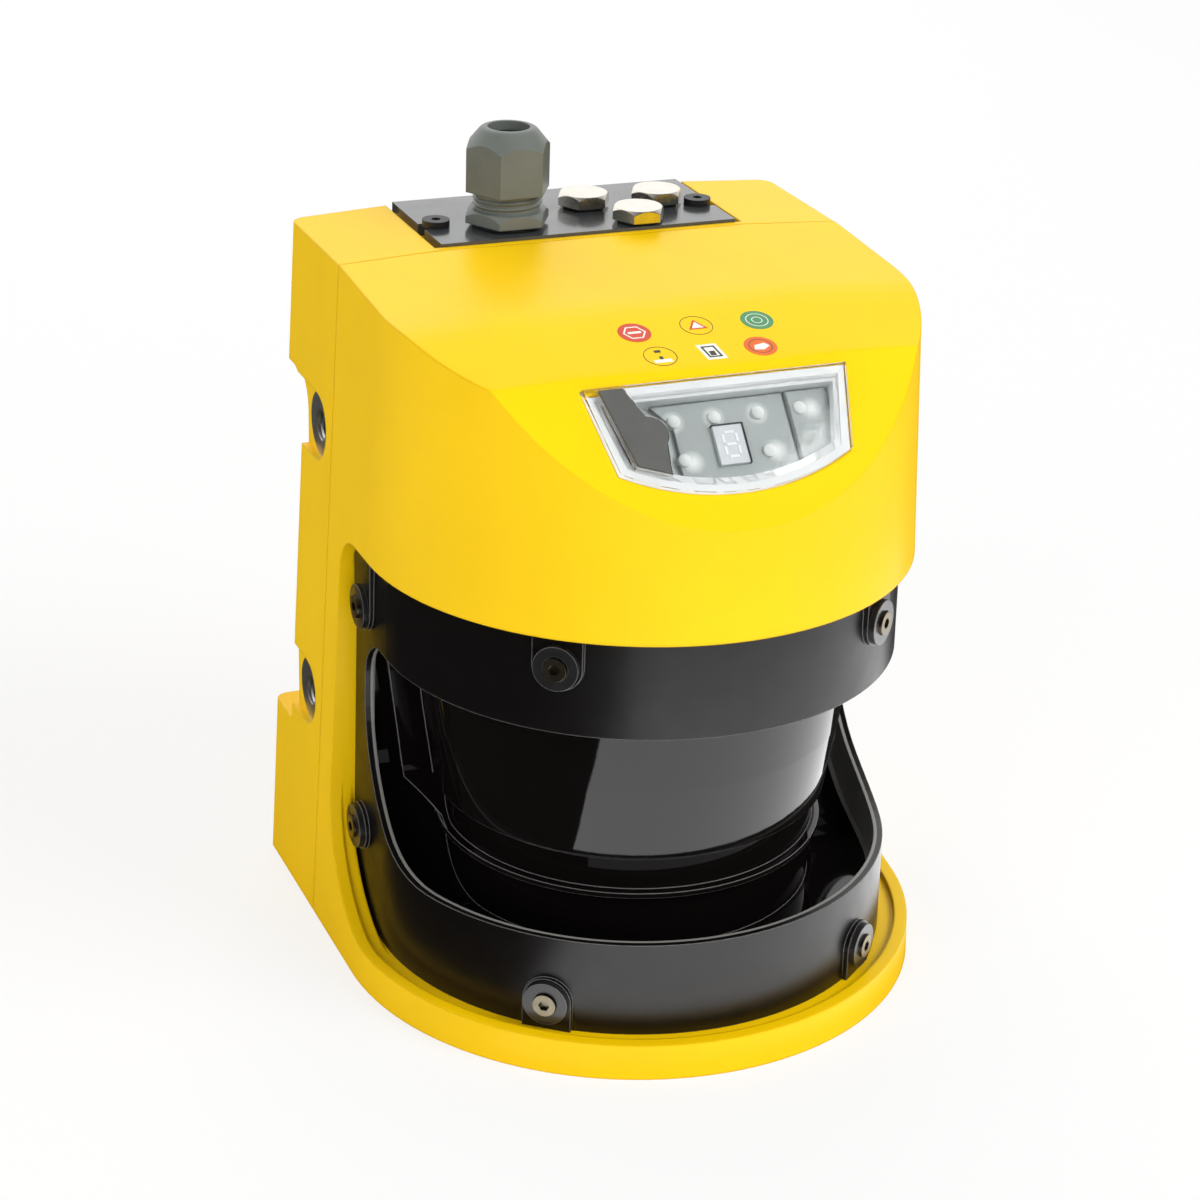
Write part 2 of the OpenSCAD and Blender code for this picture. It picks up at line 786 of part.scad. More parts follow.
// Raised pads under the washers, which run on to the hood or to the base
module cover_lugs() for (site = screw_sites) {
    end_z = site.z > (band_z + ring_z) / 2 ? hood_z - joint_gap : rim_z;
    pad_h = site.y == side_screw_y0 ? 0 : abs(end_z - site.z);
    translate([0, site.y, 0]) rotate([0, 0, site.x]) translate([0, -cover_r(site.z) + lug_root, 0])
        rotate([90, 0, 0]) linear_extrude(height = lug_root + lug_t) {
            translate([0, site.z]) circle(d = lug_w);
            if (pad_h > 0) translate([-lug_w / 2, min(site.z, end_z)]) square([lug_w, pad_h]);
        }
}

module optics_cover() color(black) at_scan_axis() difference() {
    union() {
        difference() {
            cover_form();
            cover_form(cover_t);
        }
        lip();
        intersection() {
            cover_lugs();
            along_x() side_slot(rim_z, hood_z - joint_gap, cover_back_y, rim_rise_r, arch_r);
        }
    }
    at_cover_screws() translate([0, 0, -2 * cover_t - lug_t]) cylinder(h = 4 * cover_t, r = thread_r + fit);
}

module cover_seal() color(rubber) at_scan_axis() difference() {
    cover_d(cover_top_z, cover_top_z + seal_t, cover_back_y, seal_in / 2);
    cover_d(cover_top_z - over, cover_top_z + seal_t + over, seam_y, cover_t - seal_in / 2);
}

module cover_washers() color("#2a2828") at_scan_axis() at_cover_screws() difference() {
    cylinder(h = washer_t, d = washer_d);
    translate([0, 0, -over]) cylinder(h = washer_t + over, r = thread_r + fit);
    translate([0, 0, washer_t - washer_well]) cylinder(h = washer_well + over, r = head_r + fit);
}

module cover_screws() color("#8f8468") at_scan_axis() at_cover_screws() {
    translate([0, 0, washer_t - washer_well]) difference() {
        cylinder(h = head_h, r = head_r);
        translate([0, 0, washer_well / 2]) cylinder(h = head_h, r = head_hex_r, $fn = 6);
    }
    translate([0, 0, washer_t + thread_fit - screw_l])
        cylinder(h = screw_l - washer_well, r = thread_r - thread_fit);
}

// ---- Display ----

// The window: straight top, leaning sides and a round lower edge, moved in by inset
module lens_outline(inset) {
    sag = lens_len - lens_side;
    low = lens_low_half_w - inset;
    bow_r = (lens_low_half_w * lens_low_half_w + sag * sag) / (2 * sag);
    intersection() {
        polygon([
            [-lens_half_w + inset, -inset], [lens_half_w - inset, -inset],
            [low, -lens_side], [low * lens_foot_share, -lens_len + inset],
            [-low * lens_foot_share, -lens_len + inset], [-low, -lens_side]
        ]);
        translate([0, bow_r - lens_len]) circle(r = bow_r - inset, $fn = 180);
    }
}

// The service cap: a strap down the left side of the window with a round bulge over the socket
module cap_outline(grow = 0) {
    edge_x = lens_half_w - fit;
    polygon([
        [-edge_x + cap_strap[0].x - grow, cap_strap[0].y + grow],
        [-edge_x + cap_strap[1].x + grow, cap_strap[1].y + grow],
        cap_at + cap_side[0] + [grow, 0], cap_at + cap_side[1] + [grow, 0],
        cap_at + cap_side[2] + [grow, -grow], cap_at + cap_side[3] + [-grow, -grow]
    ]);
    translate(cap_at) circle(r = cap_r + grow);
}

module display_lens() color([0.9, 0.95, 0.95, 0.35]) at_scan_axis() on_display() translate([0, 0, -lens_t])
    linear_extrude(height = lens_t + lens_proud) difference() {
        lens_outline(0);
        cap_outline(cap_gap);
    }

module display_frame() color("#e9e9e6") at_scan_axis() on_display() difference() {
    translate([0, 0, -frame_depth]) linear_extrude(height = frame_depth - lens_t) difference() {
        lens_outline(lens_land + fit);
        lens_outline(lens_land + frame_w);
    }
    translate([0, 0, -frame_depth - over]) linear_extrude(height = frame_depth + over) cap_outline(cap_gap);
}

module display_board() color("#8d9295") at_scan_axis() on_display() translate([0, 0, -frame_depth - board_t])
    linear_extrude(height = board_t) lens_outline(lens_land + fit);

module status_lamps() color("#e4e6e2") at_scan_axis() on_display() for (site = lamp_sites)
    translate([site.x, site.y, -frame_depth]) intersection() {
        cylinder(h = 2 * lamp_r, r = lamp_r);
        sphere(r = lamp_dome * lamp_r);
    }

module segment_display() color("#d9dad6") at_scan_axis() on_display()
    translate([segment_at.x - segment_size.x / 2, segment_at.y - segment_size.y / 2, -frame_depth])
        cube(segment_size);

module service_socket() color(black) at_scan_axis() on_display()
    translate([cap_at.x, cap_at.y, -frame_depth]) difference() {
        cylinder(h = frame_depth - lens_t - cap_gap, r = cap_r - socket_wall_gap);
        translate([0, 0, socket_floor]) cylinder(h = frame_depth, r = cap_stem_r + snug);
    }

module service_cap() color("#4a4d50") at_scan_axis() on_display() {
    translate([0, 0, -lens_t]) linear_extrude(height = lens_t + lens_proud + cap_proud) cap_outline();
    translate([cap_at.x, cap_at.y, -frame_depth + cap_stem_up])
        cylinder(h = frame_depth - lens_t, r = cap_stem_r);
}

// ---- Connector plate ----

// Hexagon with a chamfered upper edge
module hex_nut(af, h) intersection() {
    cylinder(h = h, d = af / cos(30), $fn = 6);
    rotate_extrude() polygon([[0, -over], [af, -over], [af, h - af / 2], [af / 2 - snug, h], [0, h]]);
}

module at_plate() translate([0, 0, plate_top_z]) children();
module at_gland() at_plate() translate([gland_x, gland_y, 0]) children();
module at_plugs() at_plate() for (site = plug_sites) translate([site.x, plate_y + site.y, 0]) children();

module plug_plate() color("#6d7072") at_scan_axis() difference() {
    translate([-plate_w / 2, plate_y, plate_top_z - plate_t]) cube([plate_w, plate_d, plate_t]);
    for (x = [0, 1]) mirror([x, 0, 0]) translate([plate_screw_x, plate_screw_y, pocket_z - over]) {
        cylinder(h = plate_t + 2 * over, r = plate_slot_r);
        translate([0, -plate_slot_r, 0]) cube([plate_w, 2 * plate_slot_r, plate_t + 2 * over]);
    }
    at_gland() translate([0, 0, -plate_t - over]) cylinder(h = plate_t + 2 * over, r = gland_stud_r + snug);
    at_plugs() translate([0, 0, -plate_t - over]) cylinder(h = plate_t + 2 * over, r = plug_r + snug);
}

module plate_screws() color("#3a3b3c") at_scan_axis() at_plate_screws() {
    translate([0, 0, -plate_screw_l + 2 * over])
        cylinder(h = plate_screw_l + plate_t - over, r = thread_r - thread_fit);
    translate([0, 0, plate_t]) difference() {
        cylinder(h = plate_head_h, r = plate_head_r);
        translate([0, 0, plate_hex_floor]) cylinder(h = plate_head_h, r = plate_hex_r, $fn = 6);
    }
}

module plug_body() color("#33363a") at_scan_axis() difference() {
    plug_half_w = well_half_w - plug_gap;
    plug_z = well_z + plug_floor_gap;
    plug_d = back_y - well_y - cast_wall - 2 * plug_gap;
    translate([-plug_half_w, well_y + plug_gap, plug_z]) cube([2 * plug_half_w, plug_d, pocket_z - plug_z]);
    translate([-plug_half_w + plug_wall, well_y + plug_gap + plug_wall, plug_z + plug_wall])
        cube([2 * (plug_half_w - plug_wall), plug_d - 2 * plug_wall, body_h]);
}

module gland_body() color("#5c5f60") at_scan_axis() at_gland() difference() {
    union() {
        translate([0, 0, gland_ring_t]) hex_nut(gland_af, gland_flange_h - gland_ring_t);
        translate([0, 0, -gland_stud_l]) cylinder(h = gland_stud_l + gland_nut_z, r = gland_stud_r);
        translate([0, 0, gland_ring_t]) cylinder(h = gland_nut_z + gland_grip, r = gland_neck_r);
    }
    translate([0, 0, -gland_stud_l - over]) cylinder(h = gland_h, r = gland_hole_r);
}

module gland_o_ring() color(rubber) at_scan_axis() at_gland() rotate_extrude()
    translate([gland_stud_r + gland_ring_t / 2 + snug, gland_ring_t / 2]) circle(d = gland_ring_t, $fn = 24);

module gland_seal() color(black) at_scan_axis() at_gland() difference() {
    translate([0, 0, gland_nut_z - gland_seal_in])
        cylinder(h = gland_h - gland_nut_z + gland_seal_in - gland_seal_drop, r = gland_hole_r - thread_fit);
    cylinder(h = gland_h, r = cable_r);
}

module gland_nut() color("#5c5f60") at_scan_axis() at_gland() difference() {
    intersection() {
        translate([0, 0, gland_nut_z]) cylinder(h = gland_h - gland_nut_z, d = gland_af / cos(30), $fn = 6);
        // the round crown over the flats
        rotate_extrude() polygon(outline([
            [0, 0, 0], [gland_af, 0, 0], [gland_af, gland_h - crown_fall[0], 0],
            [gland_af / 2 + crown_bulge, gland_h - crown_fall[1], crown_r[0]],
            [gland_hole_r + crown_rim, gland_h, crown_r[1]], [0, gland_h, 0]
        ]));
    }
    translate([0, 0, gland_nut_z - over])
        cylinder(h = gland_ring_t + gland_grip + over, r = gland_neck_r + thread_fit);
    cylinder(h = gland_h + over, r = gland_hole_r);
}

module blanking_plugs() color(steel) at_scan_axis() at_plugs() {
    translate([0, 0, plug_ring_t]) hex_nut(plug_af, plug_head_h);
    translate([0, 0, -plug_stud_l]) cylinder(h = plug_stud_l + plug_head_h, r = plug_r);
}

module blanking_o_rings() color(rubber) at_scan_axis() at_plugs() rotate_extrude()
    translate([plug_r + plug_ring_t / 2 + snug, plug_ring_t / 2]) circle(d = plug_ring_t, $fn = 24);

// ---- Optics and boards inside ----

module optics_chassis() color("#3f4244") at_scan_axis() difference() {
    union() {
        intersection() {
            translate([0, 0, chassis_z]) cylinder(h = chassis_t, r = chassis_r);
            translate([-far / 2, seam_y - chassis_back_gap - far, 0]) cube(far);
        }
        translate([0, 0, tube_z]) cylinder(h = chassis_z - tube_z + chassis_t, r = receiver_r + tube_t);
    }
    translate([0, 0, receiver_z]) cylinder(h = far, r = receiver_r + thread_fit);
    translate([0, 0, tube_z - over]) cylinder(h = far, r = receiver_r - tube_edge);
}

module receiver_lens() color([0.75, 0.85, 0.9, 0.5]) at_scan_axis() difference() {
    sag_r = (receiver_r * receiver_r + receiver_sag * receiver_sag) / (2 * receiver_sag);
    intersection() {
        translate([0, 0, receiver_z]) cylinder(h = receiver_edge_h + receiver_sag, r = receiver_r);
        translate([0, 0, receiver_z + receiver_edge_h + receiver_sag - sag_r]) sphere(r = sag_r);
    }
    translate([0, 0, receiver_z - over]) cylinder(h = far, r = laser_r + thread_fit);
}

module laser_module() color("#9a7b3a") at_scan_axis() translate([0, 0, receiver_z - laser_drop]) {
    cylinder(h = laser_len, r = laser_r);
    cylinder(h = receiver_board_z - receiver_z + laser_drop, r = laser_r - laser_neck_in);
}

module at_pillars() for (x = [-1, 1]) for (y = [-1, 1])
    translate([x * pillar_xy, y * pillar_xy, chassis_z + chassis_t]) children();

module board_pillars() color(steel) at_scan_axis() at_pillars()
    cylinder(h = pillar_h, r = pillar_r, $fn = 24);

module receiver_board() color(board_green) at_scan_axis() {
    board_w = 2 * (pillar_xy + receiver_board_edge);
    translate([-board_w / 2, -board_w / 2, receiver_board_z]) cube([board_w, board_w, board_t]);
}

module main_board() color(board_green) at_scan_axis()
    translate([-main_board_half_w, main_board_y, main_board_z0])
        cube([2 * main_board_half_w, board_t, main_board_h]);

// ---- Motor and mirror ----

module motor_stator() color("#55585a") at_scan_axis() difference() {
    translate([0, 0, motor_z0]) cylinder(h = motor_z1 - motor_z0, r = motor_r);
    translate([0, 0, motor_z0 + bearing_in]) cylinder(h = far, r = bearing_r);
    at_motor_screws() translate([0, 0, motor_z0 - over]) cylinder(h = motor_screw_l, r = motor_screw_r);
}

module motor_screws() color(steel) at_scan_axis() at_motor_screws() {
    cylinder(h = motor_screw_in, r = motor_screw_head_r);
    cylinder(h = motor_screw_l + motor_screw_in, r = motor_screw_r - thread_fit);
}

module motor_bearings() color(steel) at_scan_axis()
    for (z = [motor_z0 + bearing_in, motor_z1 - bearing_h]) translate([0, 0, z]) difference() {
        cylinder(h = bearing_h, r = bearing_r - thread_fit / 2);
        translate([0, 0, -over]) cylinder(h = bearing_h + 2 * over, r = shaft_r + run_fit);
    }

module motor_shaft() color("#b9bcc0") at_scan_axis() {
    translate([0, 0, motor_z0 + bearing_in + joint_gap])
        cylinder(h = hub_z - motor_z0 - bearing_in, r = shaft_r);
    translate([0, 0, hub_z]) cylinder(h = hub_h, r = carrier_r / 2);
}

module encoder_disc() color("#2c3136") at_scan_axis() translate([0, 0, hub_z + hub_h])
    cylinder(h = encoder_t, r = encoder_r);

// Everything below the slanted plane through the scan point, moved down by drop
module under_mirror(drop) translate([0, 0, scan_z - drop * sqrt(2)]) rotate([45, 0, 0])
    translate([-far / 2, -far / 2, -far]) cube(far);

module carrier_round() translate([0, 0, carrier_z]) cylinder(h = scan_z + carrier_r, r = carrier_r);

module mirror_carrier() color("#26282a") at_scan_axis() intersection() {
    carrier_round();
    under_mirror(mirror_t);
}

module scan_mirror() color([0.9, 0.92, 0.94]) at_scan_axis() difference() {
    intersection() {
        carrier_round();
        under_mirror(0);
    }
    under_mirror(mirror_t);
}

rear_housing();
front_housing();
seam_gasket();
housing_screws();
cover_seal();
optics_cover();
cover_washers();
cover_screws();
display_lens();
display_frame();
display_board();
status_lamps();
segment_display();
service_socket();
service_cap();
plug_plate();
plate_screws();
plug_body();
gland_body();
gland_o_ring();
gland_seal();
gland_nut();
blanking_plugs();
blanking_o_rings();
optics_chassis();
receiver_lens();
laser_module();
receiver_board();
board_pillars();
main_board();
motor_stator();
motor_screws();
motor_bearings();
motor_shaft();
encoder_disc();
mirror_carrier();
scan_mirror();
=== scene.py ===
import math
import bpy
import bmesh
from mathutils import Matrix, Vector


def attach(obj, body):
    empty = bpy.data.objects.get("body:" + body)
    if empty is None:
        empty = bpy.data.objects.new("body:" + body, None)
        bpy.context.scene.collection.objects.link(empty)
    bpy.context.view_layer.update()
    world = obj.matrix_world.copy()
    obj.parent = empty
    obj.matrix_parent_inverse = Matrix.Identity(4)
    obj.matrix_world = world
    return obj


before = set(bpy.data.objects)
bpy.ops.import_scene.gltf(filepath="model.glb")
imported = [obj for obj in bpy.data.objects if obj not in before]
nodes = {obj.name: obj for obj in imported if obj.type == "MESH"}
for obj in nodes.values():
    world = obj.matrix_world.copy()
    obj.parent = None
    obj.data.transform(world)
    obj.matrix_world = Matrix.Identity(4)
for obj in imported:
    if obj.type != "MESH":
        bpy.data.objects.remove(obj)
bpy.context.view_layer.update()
MM = 0.001

# The part's main sizes in mm, as in its CAD source
BODY_H = 185
HALF_W = 77.5
TAPER = math.tan(math.radians(2.6))
SPOT_DEPTH = 1.6
SIDE_THREAD_Y = 49
SIDE_THREAD_Z = (60, 136)
SPOT_R = 8.9
COVER_TAPER = TAPER * 0.29
GLAND_X, GLAND_Y = -18.6, 50
FLANGE_TOP = BODY_H + 0.8 + 4.6


def side_face(z):
    """X of the bare spot faces at the height z."""
    return HALF_W - z * TAPER - SPOT_DEPTH


# ---- Camera ----

AZ, EL, ROLL = math.radians(-22.707), math.radians(23.732), math.radians(1.891)
back = Vector((math.sin(AZ) * math.cos(EL), -math.cos(AZ) * math.cos(EL), math.sin(EL)))
side = Vector((math.cos(AZ), math.sin(AZ), 0))
up = back.cross(side)
side, up = side * math.cos(ROLL) + up * math.sin(ROLL), up * math.cos(ROLL) - side * math.sin(ROLL)
cam = bpy.data.objects.new("camera", bpy.data.cameras.new("camera"))
bpy.context.scene.collection.objects.link(cam)
bpy.context.scene.camera = cam
cam.data.sensor_width = 36
cam.data.lens = 88.6875
DISTANCE, SHIFT_SIDE, SHIFT_UP = 772.68, -8.861, 4.113
cam.data.clip_start, cam.data.clip_end = 0.05, 20
eye = (Vector((0, 0, BODY_H / 2)) + back * DISTANCE + side * SHIFT_SIDE + up * SHIFT_UP) * MM
cam.matrix_world = Matrix((
    (side.x, up.x, back.x, eye.x),
    (side.y, up.y, back.y, eye.y),
    (side.z, up.z, back.z, eye.z),
    (0, 0, 0, 1),
))

# ---- Materials ----


class Mat:
    """A node material around one Principled shader."""

    def __init__(self, name, color, rough, metal=0.0, **sockets):
        self.mat = bpy.data.materials.new(name)
        self.mat.use_nodes = True
        self.tree = self.mat.node_tree
        self.bsdf = self.tree.nodes["Principled BSDF"]
        self.coord = self.add("ShaderNodeTexCoord")
        self.color = color
        self.soft_normal = None
        self.put("Base Color", (*color, 1))
        self.put("Roughness", rough)
        self.put("Metallic", metal)
        for key, value in sockets.items():
            self.put(key.replace("_", " "), value)

    def add(self, kind, **props):
        n = self.tree.nodes.new(kind)
        for key, value in props.items():
            setattr(n, key, value)
        return n

    def put(self, socket, value):
        self.bsdf.inputs[socket].default_value = value

    def link(self, a, b):
        self.tree.links.new(a, b)

    def math(self, op, a, b=0.0, clamp=False):
        n = self.add("ShaderNodeMath", operation=op, use_clamp=clamp)
        for i, v in enumerate((a, b)):
            if isinstance(v, (int, float)):
                n.inputs[i].default_value = v
            else:
                self.link(v, n.inputs[i])
        return n.outputs[0]

    def noise(self, scale, detail, stretch=None):
        n = self.add("ShaderNodeTexNoise")
        n.inputs["Scale"].default_value = scale
        n.inputs["Detail"].default_value = detail
        n.inputs["Roughness"].default_value = 0.5
        vec = self.coord.outputs["Object"]
        if stretch:
            m = self.add("ShaderNodeMapping")
            m.inputs["Scale"].default_value = stretch
            self.link(vec, m.inputs["Vector"])
            vec = m.outputs[0]
        self.link(vec, n.inputs["Vector"])
        return n.outputs["Fac"]

    def ramp(self, fac, lo, hi, a, b):
        n = self.add("ShaderNodeMapRange")
        self.link(fac, n.inputs["Value"])
        for i, v in enumerate((lo, hi, a, b)):
            n.inputs[i + 1].default_value = v
        return n.outputs[0]

    def mix(self, fac, a, b):
        n = self.add("ShaderNodeMix", data_type="RGBA")
        for sock, v in ((n.inputs[0], fac), (n.inputs[6], a), (n.inputs[7], b)):
            if isinstance(v, tuple):
                sock.default_value = (*v, 1)
            elif isinstance(v, (int, float)):
                sock.default_value = v
            else:
                self.link(v, sock)
        return n.outputs[2]

    def vary(self, scale, amount):
        """Slight light and dark patches in the base colour."""
        dark = tuple(c * (1 - amount) for c in self.color)
        lite = tuple(min(1, c * (1 + amount)) for c in self.color)
        fac = self.ramp(self.noise(scale, 3), 0.3, 0.7, 0, 1)
        self.tint = self.mix(fac, dark, lite)
        self.link(self.tint, self.bsdf.inputs["Base Color"])
        return self

    def soft(self, width):
        """The normal with its edges softened over width mm, made once for each material."""
        if self.soft_normal is None:
            bevel = self.add("ShaderNodeBevel", samples=4)
            bevel.inputs["Radius"].default_value = width * MM
            self.soft_normal = bevel.outputs[0]
        return self.soft_normal

    def edges(self, tone, light, width):
        """Edges painted in a lighter colour as a painted highlight, width mm wide."""
        geo = self.add("ShaderNodeNewGeometry")
        turn = self.add("ShaderNodeVectorMath", operation="DOT_PRODUCT")
        self.link(self.soft(width), turn.inputs[0])
        self.link(geo.outputs["Normal"], turn.inputs[1])
        fac = self.ramp(turn.outputs["Value"], 0.97, 0.78, 0, 0.8)
        self.link(self.mix(fac, tone, light), self.bsdf.inputs["Base Color"])

    def rough(self, scale, lo, hi):
        """Slightly duller and glossier patches."""
        self.link(self.ramp(self.noise(scale, 3), 0.3, 0.7, lo, hi), self.bsdf.inputs["Roughness"])
        return self

    def relief(self, scale, depth, edge, stretch=None):
        """Fine surface relief depth mm deep, with edges softened over edge mm."""
        bump = self.add("ShaderNodeBump")
        bump.inputs["Distance"].default_value = depth * MM
        self.link(self.noise(scale, 2, stretch), bump.inputs["Height"])
        if edge:
            self.link(self.soft(edge), bump.inputs["Normal"])
        self.link(bump.outputs[0], self.bsdf.inputs["Normal"])
        return self


def paint(name, color):
    m = Mat(name, color, 0.42, Specular_IOR_Level=0.18, Coat_Weight=0.06, Coat_Roughness=0.16)
    return m.vary(35, 0.025).relief(700, 0.010, 0.9)


YELLOW = (0.96, 0.600, 0.001)
yellow = paint("yellow_powder_coat", YELLOW).mat

# the rear half has bare machined faces round its side threads
rear = paint("yellow_with_bare_faces", YELLOW)
sep = rear.add("ShaderNodeSeparateXYZ")
rear.link(rear.coord.outputs["Object"], sep.inputs[0])
x_abs = rear.math("ABSOLUTE", sep.outputs[0])
masks = []
for z in SIDE_THREAD_Z:
    dy = rear.math("SUBTRACT", sep.outputs[1], SIDE_THREAD_Y * MM)
    dz = rear.math("SUBTRACT", sep.outputs[2], z * MM)
    r = rear.math("SQRT", rear.math("ADD", rear.math("MULTIPLY", dy, dy), rear.math("MULTIPLY", dz, dz)))
    near = rear.math("LESS_THAN", r, SPOT_R * MM)
    flat = rear.math("LESS_THAN", x_abs, (side_face(z) + 0.4) * MM)
    masks.append(rear.math("MULTIPLY", near, flat))
bare = rear.math("ADD", *masks, clamp=True)
rear.link(rear.mix(bare, rear.tint, (0.62, 0.62, 0.60)), rear.bsdf.inputs["Base Color"])
rear.link(bare, rear.bsdf.inputs["Metallic"])
rear = rear.mat

# the optics cover is satin on its outer bands and polished elsewhere
SATIN_R, LINING_R = 65.6, 67.8
DRUM_R, DRUM_TOP = 50.3, 48
DEEP_Y = -12
EDGE_W = 0.45
cover = Mat("black_optics", (0.004, 0.003, 0.003), 0.05, IOR=1.46)
sep = cover.add("ShaderNodeSeparateXYZ")
cover.link(cover.coord.outputs["Object"], sep.inputs[0])
flat_y = cover.math("MINIMUM", sep.outputs[1], 0.0)
rad = cover.math("SQRT", cover.math("ADD", cover.math("MULTIPLY", sep.outputs[0], sep.outputs[0]),
                                    cover.math("MULTIPLY", flat_y, flat_y)))
ring_r = cover.math("SUBTRACT", rad, cover.math("MULTIPLY", sep.outputs[2], -COVER_TAPER))
outer = cover.math("GREATER_THAN", ring_r, SATIN_R * MM)
inside = cover.math("SUBTRACT", 1.0, outer)
deep = cover.math("MULTIPLY", cover.math("GREATER_THAN", sep.outputs[1], DEEP_Y * MM), inside)
low = cover.math("LESS_THAN", sep.outputs[2], DRUM_TOP * MM)
drum = cover.math("MULTIPLY", cover.math("LESS_THAN", rad, DRUM_R * MM), low)
dull = cover.math("MAXIMUM", deep, drum)
cover.link(cover.ramp(dull, 0, 1, 0.5, 0.07), cover.bsdf.inputs["Specular IOR Level"])
# the inner face of the outer band is painted a lighter grey: painted light standing in for the light and
# reflection that fall on it
painted_light_lining = cover.math("MULTIPLY", outer, cover.math("LESS_THAN", ring_r, LINING_R * MM))
# the cover's edges are painted lighter, as painted highlights
cover.edges(cover.mix(painted_light_lining, cover.color, (0.24, 0.235, 0.22)), (0.34, 0.34, 0.33), EDGE_W)
fine = cover.ramp(cover.noise(160, 3), 0.3, 0.7, 0.30, 0.36)
glossy = cover.ramp(cover.noise(60, 3), 0.3, 0.7, 0.04, 0.06)
pick = cover.add("ShaderNodeMix")
for sock, v in ((pick.inputs[0], outer), (pick.inputs[2], glossy), (pick.inputs[3], fine)):
    cover.link(v, sock)
cover.link(pick.outputs[0], cover.bsdf.inputs["Roughness"])
cover = cover.relief(500, 0.004, EDGE_W).mat

plate = Mat("grey_plate_coat", (0.055, 0.058, 0.060), 0.22, Coat_Weight=0.5, Coat_Roughness=0.08).vary(
    80, 0.08).rough(120, 0.18, 0.28).relief(600, 0.006, 0.3).mat
gland = Mat("grey_polyamide", (0.136, 0.150, 0.137), 0.36).vary(150, 0.07).rough(90, 0.32, 0.42).relief(
    900, 0.015, 0.45).mat
nickel = Mat("satin_nickel", (0.80, 0.76, 0.68), 0.24, 1.0).vary(200, 0.05).rough(
    300, 0.18, 0.32).relief(1500, 0.004, 0.35).mat
zinc = Mat("zinc_plated_steel", (0.62, 0.61, 0.58), 0.34, 1.0).vary(300, 0.08).relief(900, 0.006, 0.2).mat
alu = Mat("bare_aluminium", (0.66, 0.66, 0.64), 0.32, 1.0).vary(240, 0.06).relief(
    700, 0.006, 0.15, stretch=(6, 1, 1)).mat
washer = Mat("black_washer", (0.014, 0.013, 0.014), 0.24, Coat_Weight=0.3, Coat_Roughness=0.12).vary(200, 0.1)
# the washers' edges are painted lighter, as painted highlights
washer.edges(washer.tint, (0.26, 0.26, 0.25), EDGE_W)
washer = washer.rough(200, 0.26, 0.36).relief(800, 0.006, EDGE_W).mat
brass = Mat("dark_screw", (0.20, 0.175, 0.125), 0.34, 1.0).vary(400, 0.15).relief(1500, 0.005, 0.15).mat
rubber = Mat("black_rubber", (0.018, 0.018, 0.018), 0.62).vary(200, 0.1).relief(1200, 0.02, 0.15).mat
white = Mat("white_moulding", (0.74, 0.76, 0.77), 0.42).vary(120, 0.02).relief(900, 0.008, 0.2).mat
panel = Mat("grey_panel", (0.42, 0.45, 0.45), 0.50).vary(90, 0.06).relief(1400, 0.02, 0.1).mat
lamp = Mat("lamp_dome", (0.60, 0.62, 0.61), 0.40).vary(500, 0.03).relief(1500, 0.004, 0.1).mat
cap = Mat("grey_cap_rubber", (0.105, 0.105, 0.100), 0.50).vary(160, 0.06).rough(160, 0.44, 0.56).relief(
    1100, 0.015, 0.35).mat
dark = Mat("black_plastic", (0.014, 0.014, 0.015), 0.42).vary(160, 0.1).relief(900, 0.015, 0.25).mat
board = Mat("solder_mask", (0.02, 0.12, 0.05), 0.35, Coat_Weight=0.4).vary(300, 0.2).relief(400, 0.02, 0.1).mat
chassis = Mat("dark_anodised", (0.09, 0.095, 0.10), 0.38, 1.0).vary(200, 0.1).relief(900, 0.006, 0.3).mat
motor = Mat("turned_metal", (0.42, 0.43, 0.44), 0.3, 1.0).vary(200, 0.08).relief(
    600, 0.006, 0.2, stretch=(1, 1, 12)).mat
mirror = Mat("mirror_face", (0.92, 0.93, 0.95), 0.03, 1.0).vary(20, 0.01).relief(40, 0.001, 0.1).mat
tube = Mat("brass_tube", (0.60, 0.45, 0.20), 0.28, 1.0).vary(200, 0.08).relief(900, 0.005, 0.2).mat


def clear(name, tint, rough):
    m = Mat(name, tint, rough, Transmission_Weight=1.0, IOR=1.49)
    return m.vary(40, 0.01).rough(70, rough * 0.8, rough * 1.3).relief(300, 0.004, 0.35)


window = clear("clear_window", (0.97, 0.985, 0.985), 0.03).mat
optic = clear("optic_glass", (0.93, 0.97, 0.98), 0.01).mat

seg_back = Mat("segment_back", (0.50, 0.52, 0.54), 0.35).vary(200, 0.02).relief(900, 0.006, 0.2).mat

USE = dict(
    rear_housing=rear, front_housing=yellow, seam_gasket=rubber, housing_screws=zinc, cover_seal=rubber,
    optics_cover=cover, cover_washers=washer, cover_screws=brass, display_lens=window, display_frame=white,
    display_board=panel, status_lamps=lamp, segment_display=seg_back, service_socket=dark, service_cap=cap,
    plug_plate=plate, plate_screws=dark, plug_body=dark, gland_body=gland, gland_o_ring=rubber,
    gland_seal=rubber, gland_nut=gland, blanking_plugs=nickel, blanking_o_rings=rubber,
    optics_chassis=chassis, receiver_lens=optic, laser_module=tube, receiver_board=board,
    board_pillars=zinc, main_board=board, motor_stator=motor, motor_screws=zinc, motor_bearings=zinc,
    motor_shaft=zinc, encoder_disc=dark, mirror_carrier=dark, scan_mirror=mirror,
)
for name, node in nodes.items():
    node.data.materials.clear()
    node.data.materials.append(USE[name])
nodes["display_lens"].visible_shadow = False

# ---- Mesh helpers ----


def piece(name, bm, mat, body="root", smooth=40):
    """A visible piece of the scanner that rides on one of its bodies."""
    bmesh.ops.recalc_face_normals(bm, faces=bm.faces[:])
    me = bpy.data.meshes.new(name)
    bm.to_mesh(me)
    bm.free()
    ob = bpy.data.objects.new(name, me)
    bpy.context.scene.collection.objects.link(ob)
    me.materials.append(mat)
    me.shade_smooth()
    me.set_sharp_from_angle(angle=math.radians(smooth))
    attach(ob, body)


